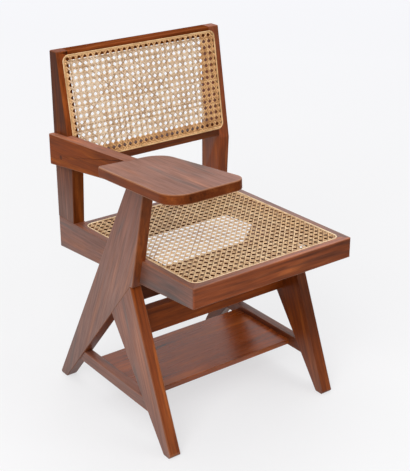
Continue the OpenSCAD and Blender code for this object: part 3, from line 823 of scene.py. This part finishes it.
def cane_skin(name, tint, shade):
    """Split cane: a glossy golden skin, each strand a little different, with darker flanks that
    are partly the cane's own edges and partly painted shadow.

    shade is a painted shade: a further tint for the cane that has wood close behind it, as the
    light falls.
    """
    look = settings()
    material, n = new_material(name)
    patches = n.noise(n.place(), 45.0, detail=3.0)
    flecks = n.noise(n.place(), 900.0)
    share = n.math("ADD", n.math("MULTIPLY", n.attribute("tone"), 0.55),
                   n.math("MULTIPLY", patches, 0.45))
    colour = n.ramp(share, (0.25, look.cane_dark), (0.55, look.cane_mid), (0.8, look.cane_light))
    colour = n.mix(1.0, colour, tint, "MULTIPLY")
    # Painted shade: the cane with wood close behind it, as the light falls, takes the shade tint.
    colour = n.mix(n.attribute("backed"), colour, n.mix(1.0, colour, shade, "MULTIPLY"))
    colour = n.mix(0.5, colour, n.ramp(flecks, (0.35, 0.66), (0.65, 1.14)), "MULTIPLY")
    # Darker flanks: partly the cane's own darker edges and partly painted shadow.
    flanks = n.ramp(n.attribute("rim"), (0.3, 1), (1.0, (0.22, 0.18, 0.15)))
    colour = n.mix(1.0, colour, flanks, "MULTIPLY")
    n.principled({"Base Color": colour, "Roughness": 0.38, "Normal": n.bump(flecks, 0.2, 0.2 * MM),
                  "Specular IOR Level": 0.5, "IOR": 1.5})
    return material


def cane(node, shape, lay, fullness, tint, shade, seed):
    """Weaves a panel in two pieces, the straight strands and the diagonals."""
    plane, corners, radius = shape
    panel = Panel(node, plane, cut_corners(corners, radius), lay, fullness, seed)
    skin = cane_skin(node, tint, shade)
    for part in ("straight", "diagonal"):
        obj = piece(node + "_" + part, weave(panel, part), skin, node, smooth=True)
        obj.data.set_sharp_from_angle(angle=math.radians(75))


class CHAIR_OT_cane(bpy.types.Operator):
    """The woven cane of the seat and the back"""

    bl_idname = "chair.cane"
    bl_label = "Cane"

    def execute(self, context):
        look = settings()
        cane("seat_cane", seat_panel(UNDER_SPLINE), weave_lay(look.seat_weave, 1.031, -0.027),
             fullness=0.86, tint=(0.90, 0.79, 0.64), shade=(0.93, 0.87, 0.78), seed=3)
        # The back's paler tint is painted light, for the glare of the pale room through its holes.
        cane("back_cane", back_panel(UNDER_SPLINE), weave_lay(look.back_weave, 0.966, 0.0),
             fullness=1.12, tint=(0.99, 0.95, 0.96), shade=(0.96, 0.74, 0.48), seed=5)
        return {"FINISHED"}


def spline(node, out, tint, radius=1.7 * MM):
    """Rounds the upper edges of a panel's spline: out is the way that its top looks."""
    bm = merged_copy(node)
    top = max(v.co.dot(out) for v in bm.verts)
    rim = [e for e in bm.edges
           if all(v.co.dot(out) > top - 0.1 * MM for v in e.verts)
           and e.calc_face_angle(0) > math.radians(45)]
    ease(bm, rim, radius, segments=4)
    return flatten_normals(piece(node + "_rounded", bm, spline_skin(node, tint), node))


def spline_skin(name, tint):
    """Round rattan: paler than the cane, with light and dark lengths."""
    look = settings()
    material, n = new_material(name)
    patches = n.noise(n.place(), 28.0, detail=4.0, roughness=0.6)
    flecks = n.noise(n.place(), 700.0)
    colour = n.ramp(patches, (0.3, look.spline_dark), (0.55, look.spline_light))
    n.principled({"Base Color": n.mix(1.0, colour, tint, "MULTIPLY"), "Roughness": 0.42,
                  "Normal": n.bump(flecks, 0.25, 0.2 * MM), "IOR": 1.5})
    return material


class CHAIR_OT_splines(bpy.types.Operator):
    """The rounded rattan splines that hold the cane in its grooves"""

    bl_idname = "chair.splines"
    bl_label = "Splines"

    def execute(self, context):
        spline("seat_spline", Vector((0, math.sin(SEAT_TILT), math.cos(SEAT_TILT))), (1, 1, 1))
        spline("back_spline", Vector((0, -math.cos(BACK_TILT), math.sin(BACK_TILT))),
               (0.95, 0.82, 0.64))
        return {"FINISHED"}


class CHAIR_OT_fixings(bpy.types.Operator):
    """Finishes for the dowels, the screws and the plug, which stay as they are"""

    bl_idname = "chair.fixings"
    bl_label = "Fixings"

    def execute(self, context):
        pale = teak("pale dowel wood", UP_GRAIN, (0.5, 0.5, 0), tone=1.5, gloss=0.6)
        plug = teak("plug", Y_GRAIN, (-0.30, 0, 0.60), tone=0.5, specular=0.1)
        metal = steel()
        for node, material in (("leg_dowels", pale), ("tablet_dowels", pale), ("arm_plug", plug),
                               ("leg_screws", metal), ("arm_screw", metal)):
            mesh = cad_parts[node].data
            mesh.materials.clear()
            mesh.materials.append(material)
        return {"FINISHED"}


def steel():
    """Brushed steel of the hidden screws."""
    material, n = new_material("brushed steel")
    brushed = n.noise(n.place(), 1200.0)
    n.principled({
        "Base Color": n.ramp(brushed, (0.3, (0.42, 0.42, 0.41)), (0.7, (0.60, 0.60, 0.58))),
        "Roughness": n.ramp(brushed, (0.3, 0.28), (0.7, 0.45)), "Metallic": 1.0,
    })
    return material


# Stage


def stage_plane(name, size, turn, place, material):
    """A flat sheet of the stage: its two sizes, its turn in degrees and its middle."""
    bm = bmesh.new()
    bmesh.ops.create_grid(bm, x_segments=1, y_segments=1, size=0.5)
    bmesh.ops.scale(bm, vec=(*size, 1), verts=bm.verts)
    turn = Euler([math.radians(a) for a in turn]).to_matrix()
    bmesh.ops.rotate(bm, cent=(0, 0, 0), matrix=turn, verts=bm.verts)
    bmesh.ops.translate(bm, vec=place, verts=bm.verts)
    mesh = bpy.data.meshes.new(name)
    bm.to_mesh(mesh)
    bm.free()
    mesh.materials.append(material)
    sheet = bpy.data.objects.new(name, mesh)
    bpy.context.scene.collection.objects.link(sheet)
    return sheet


def dark_card(name, size, turn, place, material):
    """A dark card in front of the chair that only its reflections meet, as in a studio."""
    card = stage_plane(name, size, turn, place, material)
    card.visible_camera = False
    card.visible_diffuse = False
    card.visible_transmission = False
    card.visible_shadow = False


def pale_ray(n):
    """1 for the rays that see the stage as its own pale colour."""
    path = n.add("ShaderNodeLightPath").outputs
    seen = n.math("ADD", path["Is Camera Ray"], path["Is Glossy Ray"])
    return n.math("ADD", seen, path["Is Transmission Ray"], clamp=True)


def ramp_to(n, distance, reach, *stops):
    """A ramp over a distance of up to reach, with its stops in metres."""
    share = n.math("DIVIDE", distance, reach)
    return n.ramp(share, *((at / reach, colour) for at, colour in stops))


def floor_paint():
    """A pale floor that keeps a light shadow for the camera and lights the chair plainly.

    It gets a little brighter away from the chair, and further out it fades into the room.
    """
    look = settings()
    material, n = new_material("pale floor")
    distance = n.add("ShaderNodeVectorMath", {0: n.place()}, operation="LENGTH").outputs["Value"]
    lift = ramp_to(n, distance, 5.0, (0.8, 0), (1.4, (0.035, 0.035, 0.036)),
                   (2.15, (0.085, 0.086, 0.092)), (3.2, (0.14, 0.142, 0.155)),
                   (4.6, (0.18, 0.184, 0.205)))
    glow = n.emission((*look.floor_colour, 1), look.floor_glow)
    seen = n.add("ShaderNodeAddShader", {0: n.diffuse(0.30), 1: glow}).outputs[0]
    seen = n.add("ShaderNodeAddShader", {0: seen, 1: n.emission(lift)}).outputs[0]
    haze = ramp_to(n, distance, 10.0, (4.6, 0), (7.5, 1))
    room = n.emission((*look.sky_colour, 1))
    seen = n.add("ShaderNodeMixShader", {0: haze, 1: seen, 2: room}).outputs[0]
    lit = n.diffuse(0.4)
    n.surface(n.add("ShaderNodeMixShader", {0: pale_ray(n), 1: lit, 2: seen}).outputs[0])
    return material


def room_light():
    """An even light from all round, pale where it is seen or mirrored."""
    look = settings()
    world = bpy.context.scene.world or bpy.data.worlds.new("studio")
    bpy.context.scene.world = world
    world.use_nodes = True
    n = Nodes(world.node_tree)
    light = n.add("ShaderNodeBackground", {"Color": (1, 1, 1, 1), "Strength": look.sky_strength})
    pale = n.add("ShaderNodeBackground", {"Color": (*look.sky_colour, 1)})
    mixed = n.add("ShaderNodeMixShader", {0: pale_ray(n), 1: light.outputs[0], 2: pale.outputs[0]})
    n.surface(mixed.outputs[0], "ShaderNodeOutputWorld")


def lamp(name, place, height, size, power):
    """A square soft box that looks at a height over the origin."""
    data = bpy.data.lights.new(name, "AREA")
    data.shape = "SQUARE"
    data.size = size
    data.energy = power
    obj = bpy.data.objects.new(name, data)
    turn = (Vector((0, 0, height)) - Vector(place)).to_track_quat("-Z", "Y")
    obj.matrix_world = Matrix.LocRotScale(Vector(place), turn, None)
    bpy.context.scene.collection.objects.link(obj)


def camera(azimuth=-36.585, elevation=23.552, roll=-0.081):
    """The photograph's camera, with its angles in degrees."""
    look = settings()
    azimuth, elevation, roll = (math.radians(a) for a in (azimuth, elevation, roll))
    view = Vector((-math.sin(azimuth) * math.cos(elevation),
                   math.cos(azimuth) * math.cos(elevation), -math.sin(elevation)))
    right = view.cross(Vector((0, 0, 1))).normalized()
    up = right.cross(view)
    tilted_right = right * math.cos(roll) + up * math.sin(roll)
    tilted_up = up * math.cos(roll) - right * math.sin(roll)
    turn = Matrix((tilted_right, tilted_up, -view)).transposed()
    data = bpy.data.cameras.new("camera")
    data.sensor_fit = "HORIZONTAL"
    data.sensor_width = 36
    data.lens = look.lens
    data.clip_end = 100
    obj = bpy.data.objects.new("camera", data)
    obj.matrix_world = Matrix.LocRotScale(Vector(look.camera_place), turn.to_quaternion(), None)
    bpy.context.scene.collection.objects.link(obj)
    bpy.context.scene.camera = obj


class CHAIR_OT_stage(bpy.types.Operator):
    """A pale floor, soft lamps and the camera"""

    bl_idname = "chair.stage"
    bl_label = "Stage"

    def execute(self, context):
        look = settings()
        stage_plane("floor", (28, 28), (0, 0, 0), (0, 0, 0), floor_paint())
        room_light()
        lamp("key", (-2.2, -1.6, 2.6), 0.4, 2.2, look.key_power)
        lamp("fill", (1.8, -2.8, 1.8), 0.4, 2.0, look.fill_power)
        lamp("top", (0.3, 0.6, 3.2), 0.3, 2.4, look.top_power)
        black, n = new_material("dark card")
        n.surface(n.diffuse(0.02))
        dark_card("standing_card", (5, 2.4), (90, 0, 25), (0.9, -0.85, 1.21), black)
        dark_card("lying_card", (2.9, 0.62), (0, 0, 0), (1.15, -0.62, 0.002), black)
        camera()
        context.scene.view_settings.view_transform = "Standard"
        return {"FINISHED"}


# Add-on


class ChairSettings(bpy.types.PropertyGroup):
    """Sizes and colours of the dressed chair"""

    edge_radius: FloatProperty(
        name="Edge radius", description="Rounding of the teak's free edges",
        default=1.9 * MM, min=0.0, unit="LENGTH",
    )
    corner_radius: FloatProperty(
        name="Corner radius", description="Rounding of the seat's front corners",
        default=4.0 * MM, min=0.0, unit="LENGTH",
    )
    teak_dark: FloatVectorProperty(
        name="Dark teak", description="Colour of the veins", subtype="COLOR",
        default=(0.055, 0.012, 0.003), min=0.0, max=1.0,
    )
    teak_mid: FloatVectorProperty(
        name="Teak", description="Main colour of the wood", subtype="COLOR",
        default=(0.200, 0.040, 0.005), min=0.0, max=1.0,
    )
    teak_light: FloatVectorProperty(
        name="Light teak", description="Colour of the light streaks", subtype="COLOR",
        default=(0.300, 0.072, 0.011), min=0.0, max=1.0,
    )
    # The tone of the darker teak that paints the shade in the seat and under the cane.
    raw_tone: FloatProperty(
        name="Raw tone", description="How dark the unfinished faces are, as a share of the teak",
        default=0.45, min=0.0,
    )
    # The grey of the painted sheen, a reflection painted on side and top faces.
    bloom_colour: FloatVectorProperty(
        name="Bloom", description="Grey that worn faces go towards", subtype="COLOR",
        default=(0.60, 0.57, 0.55), min=0.0, max=1.0,
    )
    # The colour of the paler edges, partly wear and partly a painted highlight.
    edge_colour: FloatVectorProperty(
        name="Worn edge", description="Colour that rubbed edges go towards", subtype="COLOR",
        default=(0.40, 0.18, 0.09), min=0.0, max=1.0,
    )
    cane_pitch: FloatProperty(
        name="Weave pitch", description="Distance from one hole of the weave to the next",
        default=14.6 * MM, min=8 * MM, unit="LENGTH",
    )
    cane_width: FloatProperty(
        name="Strand width", description="Width of the straight strands",
        default=2.6 * MM, min=0.5 * MM, unit="LENGTH",
    )
    diagonal_width: FloatProperty(
        name="Diagonal width", description="Width of the diagonal strands",
        default=2.8 * MM, min=0.5 * MM, unit="LENGTH",
    )
    cane_thickness: FloatProperty(
        name="Strand thickness", description="Thickness of the split cane",
        default=0.58 * MM, min=0.2 * MM, unit="LENGTH",
    )
    pair_gap: FloatProperty(
        name="Pair gap", description="Half the distance between the strands of a pair",
        default=1.6 * MM, min=0.5 * MM, unit="LENGTH",
    )
    seat_weave: FloatVectorProperty(
        name="Seat weave", description="Where a crossing of the seat's weave lies, from its front",
        size=2, default=(0.0081, 0.2194), subtype="TRANSLATION",
    )
    back_weave: FloatVectorProperty(
        name="Back weave", description="Where a crossing of the back's weave lies, from the knee",
        size=2, default=(0.0051, 0.1435), subtype="TRANSLATION",
    )
    cane_dark: FloatVectorProperty(
        name="Dark cane", description="Colour of the darkest strands", subtype="COLOR",
        default=(0.50, 0.310, 0.160), min=0.0, max=1.0,
    )
    cane_mid: FloatVectorProperty(
        name="Cane", description="Main colour of the cane", subtype="COLOR",
        default=(0.86, 0.630, 0.400), min=0.0, max=1.0,
    )
    cane_light: FloatVectorProperty(
        name="Light cane", description="Colour of the palest strands", subtype="COLOR",
        default=(0.97, 0.810, 0.590), min=0.0, max=1.0,
    )
    spline_dark: FloatVectorProperty(
        name="Dark spline", description="Colour of the spline's dark lengths", subtype="COLOR",
        default=(0.52, 0.330, 0.170), min=0.0, max=1.0,
    )
    spline_light: FloatVectorProperty(
        name="Light spline", description="Colour of the spline's light lengths", subtype="COLOR",
        default=(0.82, 0.620, 0.400), min=0.0, max=1.0,
    )
    floor_colour: FloatVectorProperty(
        name="Floor", description="Colour of the pale floor", subtype="COLOR",
        default=(0.985, 0.985, 1.0), min=0.0, max=1.0,
    )
    floor_glow: FloatProperty(
        name="Floor brightness", description="How bright the camera sees the floor",
        default=0.63, min=0.0,
    )
    sky_strength: FloatProperty(
        name="Even light", description="Strength of the light from all round",
        default=0.32, min=0.0,
    )
    sky_colour: FloatVectorProperty(
        name="White room", description="Colour of the room where it is seen or mirrored",
        subtype="COLOR", default=(0.94, 0.94, 0.965), min=0.0, max=1.0,
    )
    key_power: FloatProperty(
        name="Key lamp", description="Power of the large lamp", default=82.0, unit="POWER"
    )
    fill_power: FloatProperty(
        name="Fill lamp", description="Power of the lamp in front", default=28.0, unit="POWER"
    )
    top_power: FloatProperty(
        name="Top lamp", description="Power of the lamp above", default=45.0, unit="POWER"
    )
    lens: FloatProperty(
        name="Lens", description="Focal length for a 36 mm wide picture",
        default=96.67, unit="CAMERA",
    )
    camera_place: FloatVectorProperty(
        name="Camera place", description="Where the camera stands", subtype="TRANSLATION",
        default=(-1.3109, -1.7971, 1.3829),
    )


class CHAIR_PT_panel(bpy.types.Panel):
    """Lists the steps that dress the chair"""

    bl_label = "Writing arm chair"
    bl_space_type = "VIEW_3D"
    bl_region_type = "UI"
    bl_category = "Chair"

    def draw(self, context):
        for step in STEPS:
            self.layout.operator(step.bl_idname)
        for name in ChairSettings.__annotations__:
            self.layout.prop(context.scene.chair, name)


STEPS = (
    CHAIR_OT_seat_frame, CHAIR_OT_back_frame, CHAIR_OT_arm, CHAIR_OT_legs,
    CHAIR_OT_cross_rails, CHAIR_OT_shelf, CHAIR_OT_cane, CHAIR_OT_splines, CHAIR_OT_fixings,
    CHAIR_OT_stage,
)
CLASSES = (ChairSettings, *STEPS, CHAIR_PT_panel)


def register():
    for cls in CLASSES:
        bpy.utils.register_class(cls)
    bpy.types.Scene.chair = PointerProperty(type=ChairSettings)


def unregister():
    del bpy.types.Scene.chair
    for cls in reversed(CLASSES):
        bpy.utils.unregister_class(cls)


def main():
    register()
    for step in STEPS:
        group, name = step.bl_idname.split(".")
        getattr(getattr(bpy.ops, group), name)()


if __name__ == "__main__":
    main()
